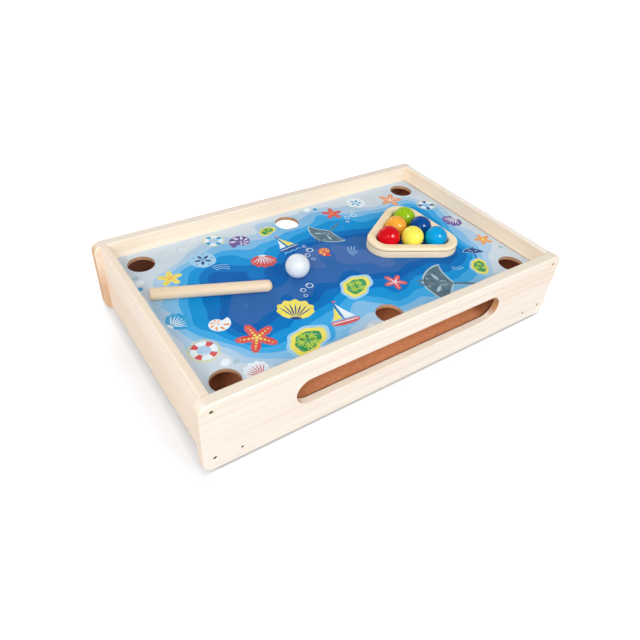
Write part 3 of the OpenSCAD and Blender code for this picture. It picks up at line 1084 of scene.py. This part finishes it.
# %% Seven balls
balls = {
    "cue_ball": ((227, 234, 240), (222, 229, 236), (70, 20)),
    "red_ball": ((217, 8, 26), (204, 6, 22), (40, 65)),
    "yellow_ball": ((247, 238, 96), (242, 230, 82), (-50, 30)),
    "light_blue_ball": ((0, 160, 222), (0, 150, 214), (65, -40)),
    "orange_ball": ((245, 174, 60), (241, 164, 50), (20, 75)),
    "dark_blue_ball": ((0, 76, 152), (0, 68, 142), (-70, -25)),
    "green_ball": ((154, 196, 24), (144, 188, 20), (55, 50)),
}
for node, (colour, shade, turn) in balls.items():
    ball = make_ball(node, turn, make_paint(node + "_paint", screen(*colour), screen(*shade)))
print("balls:", len(balls))

# %% [markdown]
# ## The triangle rack
# The rack is two rings of light plywood glued on top of each other, with softened edges and a thin
# brown line where they meet. A wall like this is a sweep: a small rectangle is spun round each corner
# and pushed along each side. Then all the sharp edges are bevelled.

# %% Rack sizes
RACK_DEGREES = -28
RACK_TURN = math.radians(RACK_DEGREES)
RACK_WALL = 10 * MM
RACK_CORNER = 12 * MM
RACK_CLEAR = 0.8 * MM
RACK_EDGE = 2.0 * MM
RACK_SEAM = 0.6 * MM
RACK_FOOT = 1.0 * MM
CORNER_STEPS = 20
SAME_SPOT = 0.01 * MM

corner_balls = [sum(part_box(name), Vector()) / 2 for name in ("red_ball", "light_blue_ball")]
low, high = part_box("yellow_ball")
ball_radius = (high.z - low.z) / 2
front_row = (corner_balls[1] - corner_balls[0]).length / 2 / math.sqrt(3)
apex_way = Vector((-math.sin(RACK_TURN), math.cos(RACK_TURN), 0))
rack_centre = sum(corner_balls, Vector()) / 2 + apex_way * front_row
rack_centre.z = 0
corner_reach = 2 * (front_row + ball_radius + RACK_CLEAR - RACK_CORNER)
lower_low, lower_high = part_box("rack_lower_ring")
upper_low, upper_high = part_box("rack_upper_ring")
print("rack centre", tuple(rack_centre), "corner reach", corner_reach)


# %% Sweep a rack ring
def sweep_ring(low_z, high_z):
    """A bare ring of the rack: four corner points of its wall, spun and pushed round the triangle."""
    skin = bmesh.new()
    third = math.tau / 3
    corners = [Matrix.Rotation(i * third, 3, "Z") @ Vector((0, corner_reach, 0)) for i in range(3)]
    first = Vector((math.cos(math.pi / 6), math.sin(math.pi / 6), 0))
    inside, outside = RACK_CORNER, RACK_CORNER + RACK_WALL
    section = [(inside, low_z), (outside, low_z), (outside, high_z), (inside, high_z)]
    verts = [skin.verts.new(corners[0] + first * reach + Vector((0, 0, z))) for reach, z in section]
    edges = [skin.edges.new((verts[i], verts[(i + 1) % 4])) for i in range(4)]
    geometry = verts + edges
    for i in range(3):
        spun = bmesh.ops.spin(
            skin, geom=geometry, cent=corners[i], axis=(0, 0, 1), angle=third, steps=CORNER_STEPS
        )
        last_edges = [item for item in spun["geom_last"] if isinstance(item, bmesh.types.BMEdge)]
        pushed = bmesh.ops.extrude_edge_only(skin, edges=last_edges)["geom"]
        moved = [item for item in pushed if isinstance(item, bmesh.types.BMVert)]
        bmesh.ops.translate(skin, verts=moved, vec=corners[(i + 1) % 3] - corners[i])
        geometry = moved + [item for item in pushed if isinstance(item, bmesh.types.BMEdge)]
    bmesh.ops.remove_doubles(skin, verts=skin.verts, dist=SAME_SPOT)
    bmesh.ops.recalc_face_normals(skin, faces=skin.faces)
    place = Matrix.Translation(rack_centre) @ Matrix.Rotation(RACK_TURN, 4, "Z")
    bmesh.ops.transform(skin, matrix=place, verts=skin.verts)
    return skin


def soften(skin, z, radius, segments):
    """Bevels the sharp edges at one height."""
    sharp = [
        edge
        for edge in skin.edges
        if edge.calc_face_angle(0) > 1 and all(abs(vert.co.z - z) < SAME_SPOT for vert in edge.verts)
    ]
    bmesh.ops.bevel(
        skin, geom=sharp, offset=radius, segments=segments, profile=0.5, affect="EDGES", material=-1
    )


print("ring recipe ready")

# %% Rack pieces
rack_tones = [screen(252, 238, 207), screen(247, 227, 189), screen(234, 204, 158)]
rack_heart = (60 * MM, 0, 0)
rack_wood = make_wood(
    "rack_plywood", rack_tones, RACK_DEGREES, rack_heart, ring_pitch=4 * MM, glue_z=lower_high.z
)
for name, node, low, high, soft_low, soft_high in (
    ("rack_upper_layer", "rack_upper_ring", upper_low.z, upper_high.z, RACK_SEAM, RACK_EDGE),
    ("rack_lower_layer", "rack_lower_ring", lower_low.z, lower_high.z, RACK_FOOT, RACK_SEAM),
):
    ring = sweep_ring(low, high)
    soften(ring, low, soft_low, 3)
    soften(ring, high, soft_high, 4)
    piece = finish_piece(name, ring, rack_wood)
    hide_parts(node)
    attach(piece, "rack")
    print(name, len(piece.data.vertices), "vertices")

# %% [markdown]
# ## The cue
# The cue is a short dowel, sawn flat at one end and rounded over at the other. The tip is a little
# flatter than half a ball, as sanding by hand leaves it. Half of the section is drawn once, from the
# middle of the flat end to the tip, and spun round the dowel's own axis. The grain of its wood runs the
# same way.

# %% Turn the cue
CUE_DEGREES = -22
CUE_TURN = math.radians(CUE_DEGREES)
CUE_CHAMFER = 0.6 * MM
CUE_SEGMENTS = 48
TIP_DEPTH = 4.8 * MM
TIP_STEPS = 10

cue_low, cue_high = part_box("cue_stick")
cue_radius = (cue_high.z - cue_low.z) / 2
cue_dir = Vector((math.cos(CUE_TURN), math.sin(CUE_TURN), 0))
cue_side = Vector((-cue_dir.y, cue_dir.x, 0))
butt = Vector((cue_low.x - cue_radius * math.sin(CUE_TURN), cue_high.y - cue_radius * cue_dir.x, 0))
butt.z = cue_low.z + cue_radius
tip_x = cue_high.x - cue_radius
cue_straight = (tip_x - butt.x) / cue_dir.x

profile = [(0, 0), (0, cue_radius - CUE_CHAMFER), (CUE_CHAMFER, cue_radius), (cue_straight, cue_radius)]
for i in range(1, TIP_STEPS + 1):
    angle = math.pi / 2 * i / TIP_STEPS
    profile.append((cue_straight + TIP_DEPTH * math.sin(angle), cue_radius * math.cos(angle)))

dowel = bmesh.new()
points = [dowel.verts.new(butt + cue_dir * along + cue_side * out) for along, out in profile]
lines = [dowel.edges.new(pair) for pair in zip(points, points[1:])]
bmesh.ops.spin(
    dowel, geom=points + lines, cent=butt, axis=cue_dir, angle=math.tau, steps=CUE_SEGMENTS,
    use_merge=True,
)
bmesh.ops.remove_doubles(dowel, verts=dowel.verts, dist=0.005 * MM)
bmesh.ops.recalc_face_normals(dowel, faces=dowel.faces)
cue_tones = [screen(230, 214, 190), screen(226, 203, 173), screen(212, 181, 146)]
cue_end = screen(240, 214, 182)
cue_heart = (0, 8 * MM, 40 * MM)
cue_wood = make_wood(
    "cue_dowel_wood", cue_tones, CUE_DEGREES, cue_heart, ring_pitch=3 * MM, end_tone=cue_end
)
cue = finish_piece("turned_cue", dowel, cue_wood)
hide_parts("cue_stick")
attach(cue, "cue")
print("cue length", cue_straight + TIP_DEPTH)
